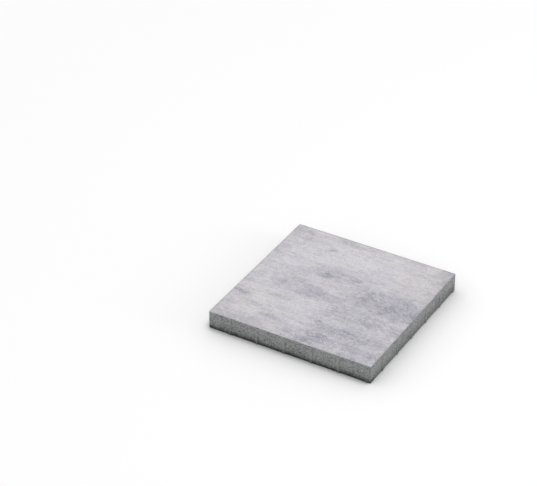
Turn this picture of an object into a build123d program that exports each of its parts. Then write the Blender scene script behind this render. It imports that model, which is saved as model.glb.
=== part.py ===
from build123d import *
import os

# Square concrete paving slab, cast in one piece.
# Millimetres, +Z up. The origin is the centre of the underside, so the slab lies on Z = 0
# with its walking face on top.

# Body
body_side = 595.0
thickness = 65.0
corner_radius = 3.0
top_arris_radius = 1.0
foot_arris = 1.0

# Spacer nibs on the sides, which keep the joint to the next slab open
nib_pitch = 100.0
nib_shift_in_pitches = 0.325
nib_end_margin = 12.0
nib_stand_out = 2.5
nib_root_width = 10.0
nib_crest_width = 6.5
nib_top_below_face = 5.0
nib_lead_in = 11.0
nib_edge_radius = 0.8

# Each row of nibs is shifted along its side from the side's middle, always the same way round
# the square. Where two slabs lie side by side their rows then stand apart by twice the shift,
# so nib never meets nib. A half-bond is a whole number of pitches and changes nothing in that.
nib_shift = nib_shift_in_pitches * nib_pitch

# As many nibs as the side holds, with the last one clear of the corner
half_side = body_side / 2
side_count = 4
longest_row = 2 * (half_side - nib_shift - nib_end_margin)
nib_count = int(longest_row // nib_pitch) + 1

# The nib is widest and tallest at its root. Its top slopes back into the side as a lead-in.
nib_root_height = thickness - nib_top_below_face - foot_arris
nib_crest_height = nib_root_height - nib_lead_in

# One nib, a tapered rib that lies on a side face: out of the side is +X, along the side is +Y
with BuildPart() as nib:
    with BuildSketch(Plane.YZ):
        with Locations((0, foot_arris)):
            Rectangle(nib_root_width, nib_root_height, align=(Align.CENTER, Align.MIN))
    with BuildSketch(Plane.YZ.offset(nib_stand_out)):
        with Locations((0, foot_arris)):
            Rectangle(nib_crest_width, nib_crest_height, align=(Align.CENTER, Align.MIN))
    loft()
    crest = nib.faces().sort_by(Axis.X)[-1]
    fillet(crest.edges(), radius=nib_edge_radius)

# The slab: a square block with rounded corners, a fine round along the walking face and a small
# bevel along the foot, and the same row of nibs turned round its four sides
with BuildPart() as paving_slab:
    with BuildSketch(Plane.XY):
        RectangleRounded(body_side, body_side, corner_radius)
    extrude(amount=thickness)
    fillet(paving_slab.faces().sort_by(Axis.Z)[-1].edges(), radius=top_arris_radius)
    chamfer(paving_slab.faces().sort_by(Axis.Z)[0].edges(), length=foot_arris)
    with PolarLocations(half_side, side_count):
        with Locations((0, nib_shift)):
            with GridLocations(nib_pitch, nib_pitch, 1, nib_count):
                add(nib.part)

paving_slab.part.label = "paving_slab"
os.makedirs("parts", exist_ok=True)
export_step(paving_slab.part, "parts/paving_slab.step")
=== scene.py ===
"""A concrete paving slab: its cast skin, its finishes and a plain studio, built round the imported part."""

import math
from typing import NamedTuple

import bpy
import numpy as np
from bpy.props import FloatProperty, FloatVectorProperty, IntProperty, PointerProperty
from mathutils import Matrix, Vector
from mathutils.geometry import delaunay_2d_cdt


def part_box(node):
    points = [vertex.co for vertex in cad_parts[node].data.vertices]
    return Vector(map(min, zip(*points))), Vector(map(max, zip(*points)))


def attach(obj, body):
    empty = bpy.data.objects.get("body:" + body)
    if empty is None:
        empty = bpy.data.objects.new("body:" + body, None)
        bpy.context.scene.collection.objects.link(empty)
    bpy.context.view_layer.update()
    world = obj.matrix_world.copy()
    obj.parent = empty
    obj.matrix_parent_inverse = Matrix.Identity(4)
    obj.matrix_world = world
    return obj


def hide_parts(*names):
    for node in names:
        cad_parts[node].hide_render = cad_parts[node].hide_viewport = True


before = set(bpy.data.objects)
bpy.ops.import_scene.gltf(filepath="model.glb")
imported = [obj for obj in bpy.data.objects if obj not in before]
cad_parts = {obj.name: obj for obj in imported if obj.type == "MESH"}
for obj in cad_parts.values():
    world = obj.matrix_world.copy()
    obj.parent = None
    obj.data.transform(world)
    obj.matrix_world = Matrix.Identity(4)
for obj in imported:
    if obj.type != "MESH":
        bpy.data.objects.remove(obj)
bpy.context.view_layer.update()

bl_info = {
    "name": "Concrete paving slab",
    "version": (1, 0, 0),
    "blender": (4, 5, 0),
    "location": "3D View > Sidebar > Paving",
    "description": "Casts a marbled paving slab with spacer nibs and sets up a plain studio for it",
    "category": "Object",
}

NODE = "paving_slab"
BODY = "root"

LOW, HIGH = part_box(NODE)
WIDTH_OVER_NIBS = HIGH.x - LOW.x
THICKNESS = HIGH.z - LOW.z
NIB_STAND_OUT = 0.0025
BODY_SIDE = WIDTH_OVER_NIBS - 2 * NIB_STAND_OUT

# The map that a picture of the surface can be laid out on, and its places, as shares of it
MAP_NAME = "OFBake"
MAP_GAP = 0.006
MAP_FACE = 0.745
MAP_STRIP = 0.0625


# Sizes, finishes and studio that a user would change


class SlabSizes(bpy.types.PropertyGroup):
    """Real sizes of the slab"""

    body_side: FloatProperty(
        name="Body side", description="Side of the square, without the nibs",
        default=BODY_SIDE, min=0.1, unit="LENGTH",
    )
    thickness: FloatProperty(
        name="Thickness", description="Height of the slab", default=THICKNESS, min=0.02, unit="LENGTH",
    )
    corner_radius: FloatProperty(
        name="Corner radius", description="Rounding of the upright corners", default=0.003, unit="LENGTH",
    )
    arris_radius: FloatProperty(
        name="Arris radius", description="Rounding along the walking face", default=0.001, unit="LENGTH",
    )
    foot_bevel: FloatProperty(
        name="Foot bevel", description="Bevel along the underside", default=0.001, unit="LENGTH",
    )
    nib_pitch: FloatProperty(
        name="Nib pitch", description="Distance from nib to nib", default=0.100, min=0.02, unit="LENGTH",
    )
    nib_shift: FloatProperty(
        name="Nib shift", description="How far each row of nibs lies from the middle of its side",
        default=0.0325, unit="LENGTH",
    )
    nib_end_margin: FloatProperty(
        name="Nib end margin", description="Least distance from the middle of the last nib to the corner",
        default=0.012, unit="LENGTH",
    )
    nib_stand_out: FloatProperty(
        name="Nib stand-out", description="How far a nib stands out of its side",
        default=NIB_STAND_OUT, unit="LENGTH",
    )
    nib_root: FloatProperty(
        name="Nib root", description="Width of a nib at the side", default=0.010, unit="LENGTH",
    )
    nib_crest: FloatProperty(
        name="Nib crest", description="Width of a nib's flat crest", default=0.0065, unit="LENGTH",
    )
    nib_fillet: FloatProperty(
        name="Nib fillet", description="How far a nib's flank runs out softly over the side",
        default=0.0016, unit="LENGTH",
    )
    nib_top_gap: FloatProperty(
        name="Nib top gap", description="How far a nib stops below the walking face",
        default=0.005, unit="LENGTH",
    )
    nib_lead_in: FloatProperty(
        name="Nib lead-in", description="Height over which the top of a nib slopes back",
        default=0.011, unit="LENGTH",
    )


class CastFinish(bpy.types.PropertyGroup):
    """Relief that the mould and the mix leave"""

    relief: FloatProperty(
        name="Relief", description="Depth of the granular relief on the sides", default=0.0005, unit="LENGTH",
    )
    relief_size: FloatProperty(
        name="Relief size", description="Width of one bump of the relief", default=0.007, unit="LENGTH",
    )
    sag: FloatProperty(
        name="Sag", description="Depth of the slow waves of the walking face", default=0.0002, unit="LENGTH",
    )
    pit_depth: FloatProperty(
        name="Pit depth", description="Depth of the small voids in the sides", default=0.0016, unit="LENGTH",
    )
    pit_spacing: FloatProperty(
        name="Pit spacing", description="Distance between the places where a void can be",
        default=0.013, unit="LENGTH",
    )
    chip_depth: FloatProperty(
        name="Chip depth", description="Depth of the small chips along the arrises",
        default=0.0009, unit="LENGTH",
    )
    chip_size: FloatProperty(
        name="Chip size", description="Length of a chip along its arris", default=0.016, unit="LENGTH",
    )
    seed: IntProperty(name="Seed", description="Another number gives another cast", default=7, min=0)


class SlabColours(bpy.types.PropertyGroup):
    """Colours of the concrete"""

    pale: FloatVectorProperty(
        name="Pale face", description="Ground colour of the walking face",
        subtype="COLOR", size=3, default=(0.752, 0.735, 0.778),
    )
    warm: FloatVectorProperty(
        name="Warm face", description="Rosy tone that drifts over the walking face",
        subtype="COLOR", size=3, default=(0.775, 0.738, 0.757),
    )
    cloud: FloatVectorProperty(
        name="Clouds", description="Blue-grey of the marbling",
        subtype="COLOR", size=3, default=(0.324, 0.320, 0.384),
    )
    side: FloatVectorProperty(
        name="Side", description="Ground colour of the cast sides",
        subtype="COLOR", size=3, default=(0.420, 0.428, 0.426),
    )
    fines: FloatVectorProperty(
        name="Fines", description="Dark paste between the grains of the sides",
        subtype="COLOR", size=3, default=(0.150, 0.156, 0.154),
    )
    speck: FloatVectorProperty(
        name="Specks", description="Pale grains of sand in the sides",
        subtype="COLOR", size=3, default=(0.660, 0.670, 0.665),
    )


class StudioSettings(bpy.types.PropertyGroup):
    """Floor, light and camera"""

    floor_colour: FloatVectorProperty(
        name="Floor", description="Colour of the floor in the light that it throws back at the slab",
        subtype="COLOR", size=3, default=(0.55, 0.55, 0.55),
    )
    floor_seen: FloatProperty(
        name="Floor as seen", description="Brightness of the floor where the camera sees it",
        default=1.14, min=0.0,
    )
    sky: FloatProperty(
        name="Sky", description="Strength of the soft light from all round", default=0.84, min=0.0,
    )
    sky_lean: FloatVectorProperty(
        name="Sky lean", description="How much brighter the sky is to the right, to the back and overhead",
        size=3, default=(-0.46, 0.10, 0.0),
    )
    contact_shade: FloatProperty(
        name="Contact shade",
        description="How much of the floor's brightness is left where the slab meets it",
        default=0.45, min=0.0, max=1.0,
    )
    contact_lean: FloatVectorProperty(
        name="Contact lean", description="Which way the floor looks for the slab: to the right and back",
        size=3, subtype="DIRECTION", default=(0.50, 0.30, 0.81),
    )
    contact_reach: FloatProperty(
        name="Contact reach", description="How far from the slab the contact shade goes",
        default=0.031, unit="LENGTH",
    )
    key_power: FloatProperty(
        name="Key power", description="Power of the soft lamp on the right", default=45.0, unit="POWER",
    )
    key_size: FloatProperty(
        name="Key size", description="Side of the soft lamp", default=2.4, unit="LENGTH",
    )


# Node helpers

# Where most of a noise lies
NOISE_SPAN = (0.3, 0.7)


class Spots(NamedTuple):
    """Round spots in some of a pattern's cells. Sizes are shares of a cell."""

    scale: float
    rarity: float
    rim: float
    core: float


class Nodes:
    """Adds nodes to one tree and joins them."""

    # Places of the factor and the two colours among a Mix node's inputs, and of the mixed colour
    MIX_FACTOR, MIX_A, MIX_B, MIXED = 0, 6, 7, 2

    def __init__(self, tree):
        self.tree = tree

    def add(self, kind, inputs=None, **settings):
        """One node. Its inputs are values, or the sockets that feed them."""
        node = self.tree.nodes.new(kind)
        for name, value in settings.items():
            setattr(node, name, value)
        for key, value in (inputs or {}).items():
            if isinstance(value, bpy.types.NodeSocket):
                self.tree.links.new(value, node.inputs[key])
            else:
                node.inputs[key].default_value = value
        return node

    def math(self, operation, *values, clamp=False):
        """Socket with the result of a sum on numbers."""
        node = self.add("ShaderNodeMath", dict(enumerate(values)), operation=operation, use_clamp=clamp)
        return node.outputs[0]

    def chain(self, operation, first, *others):
        """Socket with the same sum done on one number after another."""
        for value in others:
            first = self.math(operation, first, value)
        return first

    def vector(self, operation, *values):
        """Socket with the result of a sum on vectors."""
        node = self.add("ShaderNodeVectorMath", dict(enumerate(values)), operation=operation)
        number = operation in ("LENGTH", "DOT_PRODUCT")
        return node.outputs["Value" if number else "Vector"]

    def scaled(self, vector, by):
        """Socket with a vector times a number."""
        node = self.add("ShaderNodeVectorMath", {0: vector, "Scale": by}, operation="SCALE")
        return node.outputs["Vector"]

    def ramp(self, value, low, high, out_low=0.0, out_high=1.0, smooth=True):
        """Socket that goes from out_low to out_high as value goes from low to high."""
        node = self.add(
            "ShaderNodeMapRange",
            {"Value": value, "From Min": low, "From Max": high, "To Min": out_low, "To Max": out_high},
            interpolation_type="SMOOTHSTEP" if smooth else "LINEAR",
        )
        return node.outputs["Result"]

    def toned(self, noise, low, high, smooth=False):
        """Socket that goes from low to high over most of a noise."""
        return self.ramp(noise, *NOISE_SPAN, low, high, smooth)

    def uneven(self, value, noise, amount):
        """Socket with a number that a noise shifts, by half of amount either way."""
        return self.math("MULTIPLY_ADD", self.math("SUBTRACT", noise, 0.5), amount, value)

    def mix(self, factor, a, b):
        """Socket with two colours mixed."""
        node = self.add(
            "ShaderNodeMix", {self.MIX_FACTOR: factor, self.MIX_A: a, self.MIX_B: b},
            data_type="RGBA", clamp_factor=True,
        )
        return node.outputs[self.MIXED]

    def noise(self, vector, scale, seed=0.0, detail=2.0, roughness=0.5):
        """Socket with soft noise from 0 to 1."""
        node = self.add(
            "ShaderNodeTexNoise",
            {"Vector": vector, "W": seed, "Scale": scale, "Detail": detail, "Roughness": roughness},
            noise_dimensions="4D",
        )
        return node.outputs[0]

    def cells(self, vector, scale, dimensions="3D", **more):
        """Outputs with the distance to the nearest cell's middle, and that cell's own random colour."""
        inputs = {"Vector": vector, "Scale": scale, **more}
        return self.add("ShaderNodeTexVoronoi", inputs, voronoi_dimensions=dimensions).outputs

    def spots(self, vector, kind, dimensions="3D"):
        """Socket with 1 in the cores of some spots and 0 beyond their rims."""
        cells = self.cells(vector, kind.scale, dimensions)
        chance = self.add("ShaderNodeSeparateColor", {0: cells["Color"]}).outputs[0]
        there = self.math("GREATER_THAN", chance, kind.rarity)
        return self.math("MULTIPLY", there, self.ramp(cells["Distance"], kind.rim, kind.core))

    def group(self, tree, inputs):
        """Outputs of a group placed in the tree, with its own values."""
        return self.add("ShaderNodeGroup", inputs, node_tree=tree).outputs

    def grey(self, value):
        """Socket with a number as a grey colour."""
        return self.add("ShaderNodeCombineXYZ", {0: value, 1: value, 2: value}).outputs[0]

    def attribute(self, name, kind="FLOAT"):
        """Socket with a named attribute of the mesh, in a geometry tree."""
        return self.add("GeometryNodeInputNamedAttribute", {"Name": name}, data_type=kind).outputs[0]


def new_tree(kind, name, inputs, outputs):
    """A node group with named sockets. Gives the group, its nodes, and its input and output nodes."""
    tree = bpy.data.node_groups.new(name, kind)
    for socket, (socket_type, default) in inputs.items():
        made = tree.interface.new_socket(socket, in_out="INPUT", socket_type=socket_type)
        if default is not None:
            made.default_value = default
    for socket, socket_type in outputs.items():
        tree.interface.new_socket(socket, in_out="OUTPUT", socket_type=socket_type)
    nodes = Nodes(tree)
    return tree, nodes, nodes.add("NodeGroupInput"), nodes.add("NodeGroupOutput")


def coloured(values):
    """A colour property as the four numbers of a socket."""
    return (*values, 1.0)


# The slab's skin: rings of points from the foot to the walking face, and two caps

SIDES = 4
TOP = SIDES
UNDERSIDE = SIDES + 1
SKIN_STEP = 0.002
FACE_STEP = 0.006
UNDER_STEP = 0.010
CORNER_STEPS = 4
ARRIS_STEPS = 3

# Width of the flat rim round each cap, which keeps the bend of the edge out of the cap
RIM = 0.0011

# Where a cap's finer ring of points lies past its grid, as a share of a step
RING_SHARE = 0.45

# The triangulation keeps all that lies inside the outermost points, and takes two this near for one
WHOLE_HULL = 0
SAME_POINT = 1e-7

# How far down the finish of the walking face reaches, as a share of the arris
FACE_REACH = 0.25


def breakpoints(low, high, step, at):
    """Evenly spaced values from low to high that also hold the given ones."""
    fixed = np.array(sorted({low, high, *(v for v in at if low < v < high)}))
    values = [low]
    for a, b in zip(fixed[:-1], fixed[1:], strict=True):
        count = max(1, round((b - a) / step))
        values += list(np.linspace(a, b, count + 1)[1:])
    return np.array(values)


def nib_middles(sizes):
    """Places of the nibs along a side, from its middle."""
    half = sizes.body_side / 2
    row = 2 * (half - sizes.nib_shift - sizes.nib_end_margin)
    count = int(row // sizes.nib_pitch) + 1
    first = sizes.nib_shift - sizes.nib_pitch * (count - 1) / 2
    return [first + i * sizes.nib_pitch for i in range(count)]


def side_runs(sizes):
    """Places of the skin's points along a side, with a line on each edge of each nib."""
    flat = sizes.body_side / 2 - sizes.corner_radius
    edges = [
        middle + sign * width / 2
        for middle in nib_middles(sizes)
        for width in (sizes.nib_root + 2 * sizes.nib_fillet, sizes.nib_crest)
        for sign in (-1, 1)
    ]
    return breakpoints(-flat, flat, SKIN_STEP, edges)


def profile(sizes):
    """Inset and height of each ring, from inside the foot up the side and over the arris."""
    foot, arris, top = sizes.foot_bevel, sizes.arris_radius, sizes.thickness
    nib_top = top - sizes.nib_top_gap
    levels = breakpoints(foot, top - arris, SKIN_STEP, [nib_top - sizes.nib_lead_in, nib_top])
    rings = [(foot + RIM, 0.0), (foot, 0.0)]
    rings += [(0.0, z) for z in levels]
    for i in range(1, ARRIS_STEPS + 1):
        turn = math.pi / 2 * i / ARRIS_STEPS
        rings.append((arris * (1 - math.cos(turn)), top - arris + arris * math.sin(turn)))
    rings.append((arris + RIM, top))
    return np.array(rings)


class Outline(NamedTuple):
    """Points round the square, counter-clockwise, from the start of the front side."""

    side: np.ndarray
    run: np.ndarray
    flat: np.ndarray
    outward: np.ndarray
    inset: np.ndarray


def outline(sizes):
    """Side, place along it, 1 off the corners, outward way, and the point a corner's radius inside."""
    half, radius = sizes.body_side / 2, sizes.corner_radius
    runs = side_runs(sizes)
    points = []
    for side in range(SIDES):
        turn = math.pi / 2 * (side - 1)
        out = np.array([math.cos(turn), math.sin(turn)])
        along = np.array([-out[1], out[0]])
        for run in runs:
            points.append((side, run, 1.0, out, out * (half - radius) + along * run))
        for i in range(1, CORNER_STEPS):
            bend = math.pi / 2 * i / CORNER_STEPS
            way = math.cos(bend) * out + math.sin(bend) * along
            points.append((side, runs[-1] + radius * bend, 0.0, way, (out + along) * (half - radius)))
    return Outline(*(np.array(column) for column in zip(*points, strict=True)))


def cap(loop, step):
    """Triangles that close a flat loop, with points of their own about a step apart."""
    reach = np.abs(loop).max() - step
    rows = np.arange(-reach, reach, step * math.sqrt(3) / 2)
    inner = [
        (x + (step / 2 if i % 2 else 0.0), y)
        for i, y in enumerate(rows)
        for x in np.arange(-reach, reach - step / 2, step)
    ]
    near = reach + step * RING_SHARE
    ring = np.arange(-near, near, step / 2)
    inner += [(v, -near) for v in ring] + [(near, v) for v in ring]
    inner += [(-v, near) for v in ring] + [(-near, -v) for v in ring]
    points = [Vector(p) for p in loop] + [Vector(p) for p in inner]
    made, _, faces, sources, _, _ = delaunay_2d_cdt(points, [], [], WHOLE_HULL, SAME_POINT)
    order = [s[0] for s in sources]
    return np.array([tuple(p) for p in made]), order, [tuple(f) for f in faces]


def write_attribute(mesh, name, kind, domain, values):
    """Stores numbers or vectors on a mesh."""
    made = mesh.attributes.new(name, kind, domain)
    key = "vector" if kind == "FLOAT_VECTOR" else "value"
    made.data.foreach_set(key, np.asarray(values, np.float32).ravel())


def wall(rim, rings, radius):
    """Faces between the rings, the side that each is on, and the places of its corners on the map."""
    count = len(rim.run)
    rises = np.linalg.norm(np.diff(rings, axis=0), axis=1)
    heights = np.concatenate([[0.0], np.cumsum(rises)])
    corner_step = radius * math.pi / 2 / CORNER_STEPS
    faces, face_side, corner_places = [], [], []
    for j in range(len(rings) - 1):
        low, high = heights[j], heights[j + 1]
        for i in range(count):
            after = (i + 1) % count
            faces.append((j * count + i, j * count + after, (j + 1) * count + after, (j + 1) * count + i))
            face_side.append(int(rim.side[i]))
            start, end = rim.run[i], rim.run[after]
            if rim.side[after] != rim.side[i]:
                end = start + corner_step
            corner_places.append([(start, low), (end, low), (end, high), (start, high)])
    return faces, face_side, corner_places, heights[-1]


def cast_skin(sizes):
    """The slab without its nibs and relief, as a closed mesh that knows where each point lies."""
    rim, rings = outline(sizes), profile(sizes)
    count, levels = len(rim.run), len(rings)
    faces, face_side, corner_places, height = wall(rim, rings, sizes.corner_radius)
    reach = (sizes.corner_radius - rings[:, 0])[:, None, None] * rim.outward[None]
    ring_xy = (rim.inset[None] + reach).reshape(-1, 2)
    points = np.column_stack([ring_xy, np.repeat(rings[:, 1], count)])

    for part, level, step in ((TOP, levels - 1, FACE_STEP), (UNDERSIDE, 0, UNDER_STEP)):
        first = level * count
        flat_points, order, triangles = cap(points[first : first + count, :2], step)
        index, added = {}, []
        for i, source in enumerate(order):
            if source < count:
                index[i] = first + source
            else:
                index[i] = len(points) + len(added)
                added.append((*flat_points[i], rings[level][1]))
        points = np.concatenate([points, added])
        for triangle in triangles:
            corners = [index[i] for i in (triangle if part == TOP else reversed(triangle))]
            faces.append(tuple(corners))
            face_side.append(part)
            corner_places.append([tuple(points[c][:2]) for c in corners])

    mesh = bpy.data.meshes.new(NODE)
    mesh.from_pydata(points.tolist(), [], faces)
    for name, kind, values in (
        ("outward", "FLOAT_VECTOR", np.pad(rim.outward, ((0, 0), (0, 1)))),
        ("run", "FLOAT", rim.run),
        ("flat", "FLOAT", rim.flat),
    ):
        on_caps = np.zeros((len(points) - levels * count, *values.shape[1:]))
        write_attribute(mesh, name, kind, "POINT", np.concatenate([values] * levels + [on_caps]))
    write_attribute(mesh, "walking", "FLOAT", "FACE", walking_faces(faces, points, sizes))
    lay_out_map(mesh, face_side, corner_places, sizes, height)
    return mesh


def walking_faces(faces, points, sizes):
    """1 for each face that has the finish of the walking face, which ends on the arris."""
    level = sizes.thickness - sizes.arris_radius * FACE_REACH
    heights = np.array([np.mean([points[c][2] for c in face]) for face in faces])
    return (heights > level).astype(float)


def lay_out_map(mesh, face_side, corner_places, sizes, height):
    """Lays the faces out on the map: the walking face large, four strips under it, the underside small."""
    half = sizes.body_side / 2
    strip = sizes.body_side + 4 * sizes.corner_radius
    under_width = 1 - MAP_FACE - 3 * MAP_GAP
    low = SIDES * MAP_STRIP
    places_on_map = []
    for side, places in zip(face_side, corner_places, strict=True):
        for a, b in places:
            if side == TOP:
                u = MAP_GAP + (a + half) / (2 * half) * (MAP_FACE - MAP_GAP)
                v = low + MAP_GAP + (b + half) / (2 * half) * (1 - low - 2 * MAP_GAP)
            elif side == UNDERSIDE:
                u = MAP_FACE + 2 * MAP_GAP + (a + half) / (2 * half) * under_width
                v = low + MAP_GAP + (half - b) / (2 * half) * under_width
            else:
                u = MAP_GAP + (a + strip / 2) / strip * (1 - 2 * MAP_GAP) * MAP_FACE
                v = side * MAP_STRIP + MAP_GAP / 2 + b / height * (MAP_STRIP - MAP_GAP)
            places_on_map.append((u, v))
    layer = mesh.uv_layers.new(name=MAP_NAME)
    layer.data.foreach_set("uv", np.array(places_on_map, np.float32).ravel())


# The rule that gives the skin its nibs and its cast relief

# Relief of the sides: how much slower its slow noise is, the weights of both, and the part that shows
SLOW_PACE = 0.12
FINE_WEIGHT = 0.75
SLOW_WEIGHT = 0.5
RELIEF_SPAN = (0.25, 0.95)

# Voids: the share of the cells that has none, the least radius and what is added at random, in cells,
# and the part of the radius that is flat
NO_VOID = 0.62
VOID_RADIUS = 0.13
VOID_SPREAD = 0.16
VOID_BED = 0.35

# Chips: the part of the noise that breaks the arris, how much finer the small chips are, their weight,
# and how far the chips reach from the arris and from the foot
CHIP_SPAN = (0.55, 0.72)
SMALL_PACE = 3.0
SMALL_WEIGHT = 0.35
TOP_CHIP_REACH = 0.003
FOOT_CHIP_REACH = 0.005
FOOT_SEED_STEP = 3.0

# Waves of the walking face in a metre, and the share of the thickness above which they start
WAVES_IN_A_METRE = 9.0
WAVES_FROM = 0.98

# Edges sharper than this are shaded sharp
SHARP_FROM = math.radians(50)

# Settings that the tree takes as they are
SIZES_USED = (
    "nib_pitch", "nib_stand_out", "nib_root", "nib_fillet", "nib_crest", "nib_lead_in", "foot_bevel",
    "thickness",
)
FINISH_USED = ("relief", "relief_size", "sag", "pit_depth", "pit_spacing", "chip_depth", "chip_size")


def socket_name(setting):
    """Name of the input that takes a setting."""
    return setting.replace("_", " ").capitalize()


def nib_rule(nodes, given, run, z):
    """Socket with 1 on the crest of a nib, 0 off the nibs, and what lies between on their slopes."""
    step = nodes.math("DIVIDE", nodes.math("SUBTRACT", run, given["First nib"]), given["Nib pitch"])
    last = nodes.math("SUBTRACT", given["Nibs"], 1.0)
    nearest = nodes.math("MINIMUM", nodes.math("MAXIMUM", nodes.math("ROUND", step), 0.0), last)
    off = nodes.math("MULTIPLY", nodes.math("SUBTRACT", step, nearest), given["Nib pitch"])
    root_edge = nodes.math("MULTIPLY_ADD", given["Nib root"], 0.5, given["Nib fillet"])
    crest_edge = nodes.math("DIVIDE", given["Nib crest"], 2.0)
    flank = nodes.ramp(nodes.math("ABSOLUTE", off), root_edge, crest_edge)
    crest_top = nodes.math("SUBTRACT", given["Nib top"], given["Nib lead in"])
    slope = nodes.ramp(z, given["Nib top"], crest_top, smooth=False)
    foot = nodes.ramp(z, 0.0, given["Foot bevel"], smooth=False)
    share = nodes.math("MULTIPLY", nodes.math("MINIMUM", flank, slope), foot)
    return nodes.math("MULTIPLY", share, nodes.attribute("flat"))


def relief_rule(nodes, given, place, seed):
    """Socket with the depth of the granular relief and the voids of a side."""
    fine_scale = nodes.math("DIVIDE", 1.0, given["Relief size"])
    slow_scale = nodes.math("DIVIDE", SLOW_PACE, given["Relief size"])
    fine = nodes.noise(place, fine_scale, seed, detail=3.0, roughness=0.62)
    slow = nodes.math("MULTIPLY", nodes.noise(place, slow_scale, seed, detail=1.0), SLOW_WEIGHT)
    both = nodes.ramp(nodes.math("MULTIPLY_ADD", fine, FINE_WEIGHT, slow), *RELIEF_SPAN, smooth=False)
    relief = nodes.math("MULTIPLY", both, given["Relief"])
    cells = nodes.cells(place, nodes.math("DIVIDE", 1.0, given["Pit spacing"]), "4D", W=seed)
    chances = nodes.add("FunctionNodeSeparateColor", {"Color": cells["Color"]}).outputs
    there = nodes.math("GREATER_THAN", chances[0], NO_VOID)
    radius = nodes.math("MULTIPLY_ADD", chances[1], VOID_SPREAD, VOID_RADIUS)
    hollow = nodes.ramp(cells["Distance"], radius, nodes.math("MULTIPLY", radius, VOID_BED))
    return nodes.math("ADD", relief, nodes.chain("MULTIPLY", there, hollow, given["Pit depth"]))


def chip_rule(nodes, given, place, seed, away, reach):
    """Socket with the depth of the chips near one arris, from the height away from it."""
    near = nodes.ramp(nodes.math("ABSOLUTE", away), reach, 0.0)
    knock_scale = nodes.math("DIVIDE", 1.0, given["Chip size"])
    small_scale = nodes.math("DIVIDE", SMALL_PACE, given["Chip size"])
    knocks = nodes.ramp(nodes.noise(place, knock_scale, seed, detail=2.5, roughness=0.6), *CHIP_SPAN)
    small = nodes.math("MULTIPLY", nodes.noise(place, small_scale, seed, detail=2.0), SMALL_WEIGHT)
    return nodes.chain("MULTIPLY", near, nodes.math("ADD", knocks, small), given["Chip depth"])


def cast_tree(side_finish, face_finish):
    """Geometry tree that turns the plain skin into the cast slab."""
    inputs = {"Skin": ("NodeSocketGeometry", None)}
    for name in ("First nib", "Nibs", "Nib top", "Seed", *map(socket_name, SIZES_USED + FINISH_USED)):
        inputs[name] = ("NodeSocketFloat", 0.0)
    outputs = {"Slab": "NodeSocketGeometry"}
    tree, nodes, start, end = new_tree("GeometryNodeTree", "Cast slab", inputs, outputs)
    given = start.outputs
    place = nodes.add("GeometryNodeInputPosition").outputs[0]
    z = nodes.add("ShaderNodeSeparateXYZ", {0: place}).outputs["Z"]
    outward, seed = nodes.attribute("outward", "FLOAT_VECTOR"), given["Seed"]

    nib = nib_rule(nodes, given, nodes.attribute("run"), z)
    relief = relief_rule(nodes, given, place, seed)
    below_top = nodes.math("SUBTRACT", z, given["Thickness"])
    top_chips = chip_rule(nodes, given, place, seed, below_top, TOP_CHIP_REACH)
    foot_seed = nodes.math("ADD", seed, FOOT_SEED_STEP)
    foot_chips = chip_rule(nodes, given, place, foot_seed, z, FOOT_CHIP_REACH)
    inward = nodes.math("ADD", relief, nodes.math("ADD", top_chips, foot_chips))
    stand_out = nodes.math("MULTIPLY", nib, given["Nib stand out"])
    sideways = nodes.scaled(outward, nodes.math("SUBTRACT", stand_out, inward))

    waves = nodes.math("MULTIPLY", nodes.noise(place, WAVES_IN_A_METRE, seed, detail=2.0), given["Sag"])
    edge_chips = nodes.math("MULTIPLY", top_chips, nodes.vector("LENGTH", outward))
    on_top = nodes.ramp(z, nodes.math("MULTIPLY", given["Thickness"], WAVES_FROM), given["Thickness"])
    drop = nodes.chain("MULTIPLY", nodes.math("ADD", waves, edge_chips), on_top, -1.0)
    offset = nodes.vector("ADD", sideways, nodes.add("ShaderNodeCombineXYZ", {"Z": drop}).outputs[0])

    marked = nodes.add(
        "GeometryNodeStoreNamedAttribute", {"Geometry": given["Skin"], "Name": "nib", "Value": nib},
        data_type="FLOAT", domain="POINT",
    )
    moved = nodes.add("GeometryNodeSetPosition", {"Geometry": marked.outputs[0], "Offset": offset})
    whole = nodes.add("GeometryNodeRealizeInstances", {"Geometry": moved.outputs[0]})
    sides = nodes.add("GeometryNodeSetMaterial", {"Geometry": whole.outputs[0], "Material": side_finish})
    walked_on = nodes.math("GREATER_THAN", nodes.attribute("walking"), 0.5)
    face = nodes.add(
        "GeometryNodeSetMaterial",
        {"Geometry": sides.outputs[0], "Selection": walked_on, "Material": face_finish},
    )
    tree.links.new(face.outputs[0], end.inputs[0])
    return tree


def set_inputs(modifier, values):
    """Sets a geometry tree's inputs by the names of their sockets."""
    sockets = {s.name: s.identifier for s in modifier.node_group.interface.items_tree if s.in_out == "INPUT"}
    for name, value in values.items():
        modifier[sockets[name]] = value


def cast(sizes, finish, side_finish, face_finish):
    """The finished slab as one plain mesh object at the origin."""
    skin = bpy.data.objects.new("slab_skin", cast_skin(sizes))
    bpy.context.scene.collection.objects.link(skin)
    modifier = skin.modifiers.new("Cast slab", "NODES")
    modifier.node_group = cast_tree(side_finish, face_finish)
    middles = nib_middles(sizes)
    values = {
        "First nib": middles[0], "Nibs": float(len(middles)), "Nib top": sizes.thickness - sizes.nib_top_gap,
        "Seed": float(finish.seed),
    }
    for settings, names in ((sizes, SIZES_USED), (finish, FINISH_USED)):
        for name in names:
            values[socket_name(name)] = getattr(settings, name)
    set_inputs(modifier, values)
    graph = bpy.context.evaluated_depsgraph_get()
    mesh = bpy.data.meshes.new_from_object(skin.evaluated_get(graph), depsgraph=graph)
    skin.modifiers.remove(modifier)
    bpy.data.objects.remove(skin)
    mesh.shade_smooth()
    mesh.set_sharp_from_angle(angle=SHARP_FROM)
    slab = bpy.data.objects.new("marbled_slab", mesh)
    bpy.context.scene.collection.objects.link(slab)
    return slab


# Finishes

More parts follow.
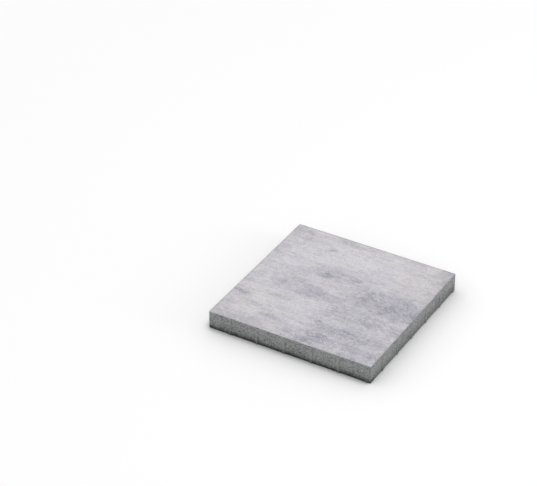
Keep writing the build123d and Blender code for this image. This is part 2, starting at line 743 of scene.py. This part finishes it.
# The grain that both finishes use: how much coarser its mottle is, and the weights of both in its height
MOTTLE_PACE = 0.28
GRAIN_HEIGHT = 0.7
MOTTLE_HEIGHT = 0.6

# Share of a soft patch's half size over which it has its whole strength
PATCH_CORE = 0.2


def grain_group():
    """Shader group with the grain of concrete, which both finishes use."""
    tree, nodes, start, end = new_tree(
        "ShaderNodeTree", "Concrete grain",
        {
            "Vector": ("NodeSocketVector", None),
            "Grain size": ("NodeSocketFloat", 0.002),
            "Seed": ("NodeSocketFloat", 0.0),
        },
        {"Grain": "NodeSocketFloat", "Mottle": "NodeSocketFloat", "Height": "NodeSocketFloat"},
    )
    given = start.outputs
    per_grain = nodes.math("DIVIDE", 1.0, given["Grain size"])
    grain = nodes.noise(given["Vector"], per_grain, given["Seed"], detail=2.0, roughness=0.6)
    coarse = nodes.math("MULTIPLY", per_grain, MOTTLE_PACE)
    mottle = nodes.noise(given["Vector"], coarse, given["Seed"], detail=4.0, roughness=0.65)
    grain_height = nodes.math("MULTIPLY", grain, GRAIN_HEIGHT)
    height = nodes.math("ADD", grain_height, nodes.math("MULTIPLY", mottle, MOTTLE_HEIGHT))
    for socket, value in (("Grain", grain), ("Mottle", mottle), ("Height", height)):
        tree.links.new(value, end.inputs[socket])
    return tree


def patch_group():
    """Shader group that adds one soft oval patch to those before it."""
    tree, nodes, start, end = new_tree(
        "ShaderNodeTree", "Soft patch",
        {
            "Before": ("NodeSocketFloat", 0.0),
            "Vector": ("NodeSocketVector", None),
            "Middle": ("NodeSocketVector", (0.0, 0.0, 0.0)),
            "Half size": ("NodeSocketVector", (0.1, 0.1, 1.0)),
            "Strength": ("NodeSocketFloat", 1.0),
        },
        {"Patches": "NodeSocketFloat"},
    )
    given = start.outputs
    away = nodes.vector("SUBTRACT", given["Vector"], given["Middle"])
    share = nodes.vector("LENGTH", nodes.vector("DIVIDE", away, given["Half size"]))
    patch = nodes.math("MULTIPLY", nodes.ramp(share, 1.0, PATCH_CORE), given["Strength"])
    tree.links.new(nodes.math("ADD", given["Before"], patch), end.inputs[0])
    return tree


class Patch(NamedTuple):
    """A soft oval on the walking face, in metres from its middle."""

    x: float
    y: float
    half_length: float
    half_width: float
    strength: float


# Clouds of the marbling, listed one patch a row
CLOUDS = (
    (0.000, 0.180, 0.300, 0.090, -0.10),
    (-0.270, 0.165, 0.050, 0.050, -0.14),
    (0.185, 0.020, 0.210, 0.100, 0.33),
    (0.105, 0.030, 0.065, 0.045, 0.14),
    (0.215, -0.002, 0.060, 0.045, 0.20),
    (0.285, -0.010, 0.045, 0.055, 0.24),
    (0.250, 0.068, 0.110, 0.028, 0.10),
    (0.130, -0.095, 0.180, 0.065, 0.25),
    (0.030, -0.145, 0.080, 0.055, 0.22),
    (0.010, -0.275, 0.110, 0.035, 0.30),
    (0.280, -0.105, 0.035, 0.065, 0.30),
    (0.075, -0.075, 0.040, 0.040, 0.14),
    (0.285, -0.260, 0.030, 0.060, 0.14),
    (0.280, 0.220, 0.035, 0.050, 0.24),
    (0.280, 0.120, 0.030, 0.050, 0.12),
    (0.185, -0.100, 0.045, 0.022, 0.14),
    (0.245, -0.055, 0.032, 0.048, 0.12),
    (0.150, -0.190, 0.190, 0.060, 0.36),
    (0.105, -0.190, 0.050, 0.024, 0.14),
    (0.040, -0.180, 0.030, 0.026, 0.14),
    (0.060, -0.248, 0.080, 0.045, 0.44),
    (0.190, -0.255, 0.160, 0.055, 0.34),
    (-0.120, -0.020, 0.160, 0.050, 0.22),
    (-0.020, -0.052, 0.130, 0.040, 0.22),
    (-0.200, -0.030, 0.060, 0.034, 0.12),
    (-0.065, 0.076, 0.058, 0.027, 0.42),
    (-0.060, 0.105, 0.120, 0.045, 0.14),
    (0.035, 0.082, 0.036, 0.023, 0.36),
    (0.030, 0.145, 0.040, 0.018, 0.24),
    (-0.122, 0.215, 0.038, 0.024, 0.34),
    (-0.228, 0.232, 0.026, 0.040, 0.24),
    (-0.275, 0.270, 0.050, 0.045, 0.08),
    (-0.085, 0.280, 0.065, 0.030, 0.22),
    (-0.260, -0.150, 0.060, 0.050, 0.12),
    (0.180, 0.225, 0.070, 0.022, 0.18),
    (0.290, 0.265, 0.050, 0.060, 0.08),
    (0.170, 0.285, 0.050, 0.020, 0.18),
    (-0.115, -0.218, 0.060, 0.020, 0.30),
    (-0.270, -0.145, 0.070, 0.015, 0.34),
    (-0.140, -0.110, 0.070, 0.012, 0.16),
    (-0.200, -0.190, 0.050, 0.017, 0.16),
    (-0.150, -0.075, 0.070, 0.030, -0.10),
    (-0.275, -0.050, 0.040, 0.060, 0.12),
    (-0.210, -0.275, 0.130, 0.030, 0.18),
    (-0.280, 0.120, 0.040, 0.140, 0.12),
)

# Where the walking face is rosy, and where it is a little dusky
ROSY = (
    (-0.230, -0.190, 0.190, 0.150, 1.00),
    (0.235, 0.190, 0.150, 0.140, 1.00),
    (-0.150, 0.275, 0.230, 0.070, 0.60),
    (0.110, 0.275, 0.110, 0.060, 0.60),
)
DUSK = (
    (0.280, 0.250, 0.065, 0.075, 0.15),
    (-0.285, 0.270, 0.060, 0.060, 0.08),
)

# How far a noise bends the clouds and stirs the finer layers, in metres for a whole step of it
BEND = (0.12, 0.07, 0.0)
STIR = (0.030, 0.012, 0.0)
BEND_STRETCH = 1.8
BEND_SCALE = 16.0

# How blue-grey the face is where no cloud is, and in a cloud of strength 1
MARBLING_GROUND = 0.235
CLOUD_GAIN = 1.15


class Veil(NamedTuple):
    """A layer of noise about zero, drawn out along X, and crisp where the half step is small."""

    stretch: float
    scale: float
    seed: float
    amount: float
    half_step: float
    detail: float
    roughness: float = 0.5


BROAD = Veil(stretch=1.9, scale=6.0, seed=1.3, amount=0.10, half_step=0.30, detail=1.0)
BANDS = Veil(stretch=1.5, scale=22.0, seed=4.1, amount=0.13, half_step=0.30, detail=3.0, roughness=0.8)
LINES = Veil(stretch=9.0, scale=11.0, seed=6.7, amount=0.08, half_step=0.14, detail=3.0, roughness=0.65)
MOTTLE = Veil(stretch=1.2, scale=70.0, seed=2.9, amount=0.17, half_step=0.16, detail=3.0, roughness=0.75)
FLECKS = Veil(stretch=1.0, scale=230.0, seed=5.5, amount=0.15, half_step=0.16, detail=2.0, roughness=0.8)

# How strong the mottle and the flecks are where no cloud is, and what a cloud of strength 1 adds
MOTTLE_GROUND = 0.74
MOTTLE_GAIN = 0.5

# Small dark flaws, and pale veins that only the clouds have
FLAWS = Spots(scale=95.0, rarity=0.82, rim=0.34, core=0.10)
FLAW_STRETCH = 1.4
FLAW_STRENGTH = 0.32
VEIN_STRETCH = 1.3
VEIN_SCALE = 62.0
VEIN_SEED = 7.7
VEIN_HALF_WIDTH = 0.045
VEIN_STRENGTH = -0.8

# The rosy drift over the face: its noise, the part of that which counts, and the tone at both ends
DRIFT_STRETCH = 1.9
DRIFT_SCALE = 7.0
DRIFT_SEED = 8.2
DRIFT_SPAN = (0.40, 0.62)
DRIFT_ROSE = (0.05, 0.55)

# Fine shades of the face: its grain, and the darker margin along its edge
FACE_GRAIN = 0.0022
FACE_SEED = 2.0
FACE_GRAIN_SPAN = (0.25, 0.75)
FACE_GRAIN_TONE = (0.90, 1.09)
FACE_MOTTLE_TONE = (0.96, 1.035)
MARGIN_UNEVEN = 0.012
MARGIN_SPAN = (0.001, 0.012)
MARGIN_TONE = 0.88
FACE_ROUGHNESS = (0.62, 0.78)
FACE_SHEEN = 0.3

# Fine shades of the sides: dark paste and pale grains, sand, voids with painted shade, and slow blotches
SIDE_GRAIN = 0.0038
SIDE_SEED = 5.0
SIDE_GRAIN_SPAN = (0.315, 0.605)
SIDE_MOTTLE_TONE = (0.92, 1.10)
SAND = Spots(scale=170.0, rarity=0.91, rim=0.40, core=0.18)
SAND_STRENGTH = 0.8
VOIDS = Spots(scale=115.0, rarity=0.77, rim=0.38, core=0.14)
VOID_PAINTED_SHADE = 0.66
VOID_DEPTH = 1.5
BLOTCH_SCALE = 22.0
BLOTCH_SEED = 9.0
BLOTCH_TONE = (0.94, 1.08)
SIDE_ROUGHNESS = (0.86, 0.97)
SIDE_SHEEN = 0.25

# Painted shade along the foot: its heights, and what is left of the tone at the floor, which is least on the
# front.
# Heights and places are in metres from the middle of the underside.
FOOT_SHADE_UNEVEN = 0.014
FOOT_SHADE_SPAN = (0.002, 0.021)
SHADE_RISE_HEIGHT = 0.042
SHADE_RISE_TONE = 0.58
FRONT_SPAN = (-0.295, -0.235)
RIGHT_SPAN = (0.260, 0.296)
FRONT_FOOT_SHADE = 0.23
LEFT_FOOT_SHADE = 0.45
RIGHT_FOOT_SHADE = 0.92

# The nibs: the least tone that the painted foot shade leaves on a crest, how much lighter the crest is, and
# the flanks' painted shade
CREST_SHADE_LEAST = 0.38
SIDE_TONE = 1.05
CREST_GAIN = 0.04
PAINTED_FLANK_SHADE = -0.30


def blank_material(name):
    """A material with only a Principled shader, and its nodes."""
    material = bpy.data.materials.new(name)
    material.use_nodes = True
    nodes = Nodes(material.node_tree)
    shader = material.node_tree.nodes["Principled BSDF"]
    return material, nodes, shader


def object_place(nodes):
    """Socket with the place on the object, in metres."""
    return nodes.add("ShaderNodeTexCoord").outputs["Object"]


def drawn_out(nodes, place, stretch):
    """Socket with a place that draws a pattern out along X, by pressing it together along Y."""
    return nodes.vector("MULTIPLY", place, (1.0, stretch, 1.0))


def laid_patches(nodes, group, place, top, patches):
    """Socket with the sum of some soft patches on the walking face."""
    total = 0.0
    for p in (Patch(*row) for row in patches):
        inputs = {
            "Before": total, "Vector": place, "Middle": (p.x, p.y, top),
            "Half size": (p.half_length, p.half_width, 1.0), "Strength": p.strength,
        }
        total = nodes.group(group, inputs)[0]
    return total


def veiled(nodes, place, veil):
    """Socket with one layer of noise about zero."""
    drawn = drawn_out(nodes, place, veil.stretch)
    noise = nodes.noise(drawn, veil.scale, veil.seed, veil.detail, veil.roughness)
    return nodes.ramp(noise, 0.5 - veil.half_step, 0.5 + veil.half_step, -veil.amount, veil.amount)


def marbling(nodes, place, clouds):
    """Socket with how blue-grey the walking face is, from 0 up."""
    layers = [veiled(nodes, place, veil) for veil in (BROAD, BANDS, LINES)]
    mottle = nodes.math("ADD", veiled(nodes, place, MOTTLE), veiled(nodes, place, FLECKS))
    strength = nodes.math("MULTIPLY_ADD", clouds, MOTTLE_GAIN, MOTTLE_GROUND)
    layers.append(nodes.math("MULTIPLY", mottle, strength))
    flaws = nodes.spots(drawn_out(nodes, place, FLAW_STRETCH), FLAWS, "2D")
    layers.append(nodes.math("MULTIPLY", flaws, FLAW_STRENGTH))
    drawn = drawn_out(nodes, place, VEIN_STRETCH)
    ridge = nodes.math("SUBTRACT", nodes.noise(drawn, VEIN_SCALE, VEIN_SEED, detail=2.0, roughness=0.6), 0.5)
    veins = nodes.ramp(nodes.math("ABSOLUTE", ridge), VEIN_HALF_WIDTH, 0.0)
    layers.append(nodes.chain("MULTIPLY", veins, clouds, VEIN_STRENGTH))
    ground = nodes.math("MULTIPLY_ADD", clouds, CLOUD_GAIN, MARBLING_GROUND)
    return nodes.math("MAXIMUM", nodes.chain("ADD", ground, *layers), 0.0)


def face_tone(nodes, place, texture, half_side):
    """Socket with the fine shades of the walking face and its darker margin."""
    grain = nodes.ramp(texture["Grain"], *FACE_GRAIN_SPAN, *FACE_GRAIN_TONE, smooth=False)
    mottle = nodes.toned(texture["Mottle"], *FACE_MOTTLE_TONE)
    away = nodes.add("ShaderNodeSeparateXYZ", {0: nodes.vector("ABSOLUTE", place)}).outputs
    to_edge = nodes.math("SUBTRACT", half_side, nodes.math("MAXIMUM", away["X"], away["Y"]))
    uneven = nodes.uneven(to_edge, texture["Mottle"], MARGIN_UNEVEN)
    return nodes.chain("MULTIPLY", grain, mottle, nodes.ramp(uneven, *MARGIN_SPAN, MARGIN_TONE, 1.0))


def dress(nodes, shader, colour, roughness, bump, sheen):
    """Joins a finish to its shader."""
    nodes.tree.links.new(colour, shader.inputs["Base Color"])
    nodes.tree.links.new(roughness, shader.inputs["Roughness"])
    nodes.tree.links.new(bump.outputs[0], shader.inputs["Normal"])
    shader.inputs["Specular IOR Level"].default_value = sheen


def marbled_face(colours, sizes, grain, patch):
    """The walking face: smooth pale concrete with blue-grey clouds drawn out along X."""
    material, nodes, shader = blank_material("Marbled walking face")
    place, top = object_place(nodes), sizes.thickness
    wobble = nodes.add(
        "ShaderNodeTexNoise",
        {
            "Vector": drawn_out(nodes, place, BEND_STRETCH),
            "Scale": BEND_SCALE, "Detail": 4.0, "Roughness": 0.6,
        },
    )
    shaken = nodes.vector("SUBTRACT", wobble.outputs["Color"], (0.5, 0.5, 0.5))
    bent = nodes.vector("ADD", place, nodes.vector("MULTIPLY", shaken, BEND))
    stirred = nodes.vector("ADD", place, nodes.vector("MULTIPLY", shaken, STIR))
    blue = marbling(nodes, stirred, laid_patches(nodes, patch, bent, top, CLOUDS))

    drift = nodes.noise(drawn_out(nodes, place, DRIFT_STRETCH), DRIFT_SCALE, DRIFT_SEED, detail=3.0)
    rosy = nodes.ramp(drift, *DRIFT_SPAN, *DRIFT_ROSE)
    rosy = nodes.math("ADD", rosy, laid_patches(nodes, patch, bent, top, ROSY), clamp=True)
    ground = nodes.mix(rosy, coloured(colours.pale), coloured(colours.warm))
    marbled = nodes.mix(blue, ground, coloured(colours.cloud))

    texture = nodes.group(grain, {"Vector": place, "Grain size": FACE_GRAIN, "Seed": FACE_SEED})
    light = nodes.math("SUBTRACT", 1.0, laid_patches(nodes, patch, bent, top, DUSK))
    tone = nodes.math("MULTIPLY", face_tone(nodes, place, texture, sizes.body_side / 2), light)
    roughness = nodes.toned(texture["Mottle"], *FACE_ROUGHNESS, smooth=True)
    bump = nodes.add("ShaderNodeBump", {"Height": texture["Height"], "Strength": 0.35, "Distance": 0.0003})
    dress(nodes, shader, nodes.vector("MULTIPLY", marbled, nodes.grey(tone)), roughness, bump, FACE_SHEEN)
    return material


def painted_foot_shade(nodes, place, mottle, nib):
    """Socket with what is left of the sides' tone under the painted shade towards the foot."""
    where = nodes.add("ShaderNodeSeparateXYZ", {0: place}).outputs
    height = nodes.uneven(where["Z"], mottle, FOOT_SHADE_UNEVEN)
    right = nodes.ramp(where["X"], *RIGHT_SPAN, LEFT_FOOT_SHADE, RIGHT_FOOT_SHADE)
    least = nodes.ramp(where["Y"], *FRONT_SPAN, FRONT_FOOT_SHADE, right)
    foot = nodes.ramp(height, *FOOT_SHADE_SPAN, least, 1.0)
    rise = nodes.ramp(height, 0.0, SHADE_RISE_HEIGHT, SHADE_RISE_TONE, 1.0, smooth=False)
    crest = nodes.math("MULTIPLY", nib, CREST_SHADE_LEAST)
    return nodes.math("MAXIMUM", nodes.math("MULTIPLY", foot, rise), crest)


def nib_tone_and_flank_shade(nodes, nib):
    """Socket with the tone of the sides and their crests, and the painted shade of the nibs' flanks."""
    crest = nodes.math("MULTIPLY_ADD", nib, CREST_GAIN, SIDE_TONE)
    flank = nodes.math("MULTIPLY", nib, nodes.math("SUBTRACT", 1.0, nib))
    return nodes.math("MULTIPLY", crest, nodes.math("MULTIPLY_ADD", flank, PAINTED_FLANK_SHADE, 1.0))


def cast_side(colours, grain):
    """The sides and the underside: open granular concrete, with painted shade along the foot."""
    material, nodes, shader = blank_material("Cast side")
    place = object_place(nodes)
    texture = nodes.group(grain, {"Vector": place, "Grain size": SIDE_GRAIN, "Seed": SIDE_SEED})
    light = nodes.ramp(texture["Grain"], *SIDE_GRAIN_SPAN, smooth=False)
    body = nodes.mix(light, coloured(colours.fines), coloured(colours.side))
    sand = nodes.math("MULTIPLY", nodes.spots(place, SAND), SAND_STRENGTH)
    body = nodes.mix(sand, body, coloured(colours.speck))

    voids = nodes.spots(place, VOIDS)
    blotch = nodes.noise(place, BLOTCH_SCALE, BLOTCH_SEED, detail=1.0, roughness=0.6)
    nib = nodes.add("ShaderNodeAttribute", attribute_name="nib").outputs["Fac"]
    tone = nodes.chain(
        "MULTIPLY",
        # Painted shade in the voids' hollows
        nodes.math("SUBTRACT", 1.0, nodes.math("MULTIPLY", voids, VOID_PAINTED_SHADE)),
        nodes.toned(texture["Mottle"], *SIDE_MOTTLE_TONE),
        nodes.toned(blotch, *BLOTCH_TONE),
        # Painted shade along the foot, lighter on the nibs' crests
        painted_foot_shade(nodes, place, texture["Mottle"], nib),
        # Tone of the nibs' crests, and painted shade on their flanks
        nib_tone_and_flank_shade(nodes, nib),
    )
    roughness = nodes.toned(texture["Grain"], *SIDE_ROUGHNESS, smooth=True)
    height = nodes.math("SUBTRACT", texture["Height"], nodes.math("MULTIPLY", voids, VOID_DEPTH))
    bump = nodes.add("ShaderNodeBump", {"Height": height, "Strength": 0.8, "Distance": 0.0009})
    dress(nodes, shader, nodes.vector("MULTIPLY", body, nodes.grey(tone)), roughness, bump, SIDE_SHEEN)
    return material


# The studio: floor, light and camera

FLOOR_REACH = 30.0
KEY_PLACE = (4.0, 0.8, 0.75)

# How open to the sky the floor is where its contact shade is full, and where it ends
CONTACT_SPAN = (0.3, 0.85)
CONTACT_SAMPLES = 8

# Where the photograph's camera stands, worked out from the slab's long straight edges
CAMERA_TURN = math.radians(30.38)
CAMERA_RISE = math.radians(33.98)
CAMERA_AWAY = 7.610
CAMERA_AIM = (-0.3779, 0.2219, -0.0638)
FOCAL_PIXELS = 2216.0
FRAME_PIXELS = 537
SENSOR_MM = 36.0


def seen_directly(nodes):
    """Socket with 1 for rays from the camera, and for its mirrored and refracted ones."""
    path = nodes.add("ShaderNodeLightPath").outputs
    mirrored = nodes.math("MAXIMUM", path["Is Glossy Ray"], path["Is Transmission Ray"])
    return nodes.math("MAXIMUM", path["Is Camera Ray"], mirrored)


def studio_floor(settings):
    """A wide floor that looks white where the slab doesn't shade it, with a painted contact shade where the
    two meet.
    """
    mesh = bpy.data.meshes.new("floor")
    r = FLOOR_REACH
    mesh.from_pydata([(-r, -r, 0), (r, -r, 0), (r, r, 0), (-r, r, 0)], [], [(0, 1, 2, 3)])
    floor = bpy.data.objects.new("floor", mesh)
    bpy.context.scene.collection.objects.link(floor)
    material, nodes, shader = blank_material("Studio floor")
    lean = nodes.add("ShaderNodeCombineXYZ", dict(enumerate(settings.contact_lean))).outputs[0]
    open_sky = nodes.add(
        "ShaderNodeAmbientOcclusion", {"Distance": settings.contact_reach, "Normal": lean},
        samples=CONTACT_SAMPLES,
    ).outputs["AO"]
    shade = nodes.ramp(open_sky, *CONTACT_SPAN, settings.contact_shade, 1.0, smooth=False)
    white = nodes.grey(nodes.math("MULTIPLY", shade, settings.floor_seen))
    colour = nodes.mix(seen_directly(nodes), coloured(settings.floor_colour), white)
    nodes.tree.links.new(colour, shader.inputs["Base Color"])
    shader.inputs["Roughness"].default_value = 1.0
    shader.inputs["Specular IOR Level"].default_value = 0.0
    mesh.materials.append(material)
    return floor


def studio_sky(settings):
    """Soft light from all round, and plain white where the camera looks past the floor."""
    world = bpy.data.worlds.new("Studio sky")
    bpy.context.scene.world = world
    world.use_nodes = True
    nodes = Nodes(world.node_tree)
    background = world.node_tree.nodes["Background"]
    background.inputs["Color"].default_value = (1.0, 1.0, 1.0, 1.0)
    way = nodes.add("ShaderNodeTexCoord").outputs["Generated"]
    lean = nodes.math("ADD", nodes.vector("DOT_PRODUCT", way, tuple(settings.sky_lean)), 1.0)
    glow = nodes.math("MULTIPLY", lean, settings.sky)
    seen = seen_directly(nodes)
    lit = nodes.math("MULTIPLY", glow, nodes.math("SUBTRACT", 1.0, seen))
    nodes.tree.links.new(nodes.math("ADD", lit, seen), background.inputs["Strength"])


def studio_key(settings):
    """One large soft lamp, on the right and a little behind the slab."""
    data = bpy.data.lights.new("Key", "AREA")
    data.size = settings.key_size
    data.energy = settings.key_power
    lamp = bpy.data.objects.new("Key", data)
    bpy.context.scene.collection.objects.link(lamp)
    lamp.location = KEY_PLACE
    lamp.rotation_mode = "QUATERNION"
    lamp.rotation_quaternion = Vector(KEY_PLACE).to_track_quat("Z", "Y")


def studio_camera(thickness):
    """The camera at the photograph's place, with its lens."""
    data = bpy.data.cameras.new("Camera")
    data.sensor_width = SENSOR_MM
    data.lens = FOCAL_PIXELS * SENSOR_MM / FRAME_PIXELS
    data.clip_end = 100.0
    camera = bpy.data.objects.new("Camera", data)
    bpy.context.scene.collection.objects.link(camera)
    flat = math.cos(CAMERA_RISE)
    back = Vector((math.sin(CAMERA_TURN) * flat, -math.cos(CAMERA_TURN) * flat, math.sin(CAMERA_RISE)))
    camera.location = Vector(CAMERA_AIM) + Vector((0.0, 0.0, thickness)) + back * CAMERA_AWAY
    camera.rotation_mode = "QUATERNION"
    camera.rotation_quaternion = (-back).to_track_quat("-Z", "Y")
    bpy.context.scene.camera = camera


# Operators, panel and registration


class PAVING_OT_cast_slab(bpy.types.Operator):
    """Cast the slab with its nibs, relief and finishes"""

    bl_idname = "paving.cast_slab"
    bl_label = "Cast slab"

    def execute(self, context):
        scene = context.scene
        grain = grain_group()
        sides = cast_side(scene.slab_colours, grain)
        face = marbled_face(scene.slab_colours, scene.slab_sizes, grain, patch_group())
        slab = cast(scene.slab_sizes, scene.slab_finish, sides, face)
        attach(slab, BODY)
        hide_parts(NODE)
        return {"FINISHED"}


class PAVING_OT_studio(bpy.types.Operator):
    """Set up the floor, the light and the camera"""

    bl_idname = "paving.studio"
    bl_label = "Set up studio"

    def execute(self, context):
        scene = context.scene
        studio_floor(scene.studio)
        studio_sky(scene.studio)
        studio_key(scene.studio)
        studio_camera(scene.slab_sizes.thickness)
        scene.view_settings.view_transform = "Standard"
        return {"FINISHED"}


class PAVING_PT_sidebar(bpy.types.Panel):
    """Sizes, finish, colours and studio of the slab"""

    bl_idname = "PAVING_PT_sidebar"
    bl_label = "Paving slab"
    bl_space_type = "VIEW_3D"
    bl_region_type = "UI"
    bl_category = "Paving"

    def draw(self, context):
        for group, operator in (
            ("slab_sizes", None),
            ("slab_finish", None),
            ("slab_colours", PAVING_OT_cast_slab.bl_idname),
            ("studio", PAVING_OT_studio.bl_idname),
        ):
            box = self.layout.box()
            settings = getattr(context.scene, group)
            for name in settings.bl_rna.properties.keys():
                if name not in ("rna_type", "name"):
                    box.prop(settings, name)
            if operator:
                box.operator(operator)


GROUPS = {
    "slab_sizes": SlabSizes,
    "slab_finish": CastFinish,
    "slab_colours": SlabColours,
    "studio": StudioSettings,
}
CLASSES = (*GROUPS.values(), PAVING_OT_cast_slab, PAVING_OT_studio, PAVING_PT_sidebar)


def register():
    """Adds the classes, and the settings of each scene."""
    for made in CLASSES:
        bpy.utils.register_class(made)
    for name, group in GROUPS.items():
        setattr(bpy.types.Scene, name, PointerProperty(type=group))


def unregister():
    """Takes the settings and the classes away."""
    for name in GROUPS:
        delattr(bpy.types.Scene, name)
    for made in reversed(CLASSES):
        bpy.utils.unregister_class(made)


def main():
    """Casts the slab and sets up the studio."""
    register()
    bpy.ops.paving.cast_slab()
    bpy.ops.paving.studio()


if __name__ == "__main__":
    main()
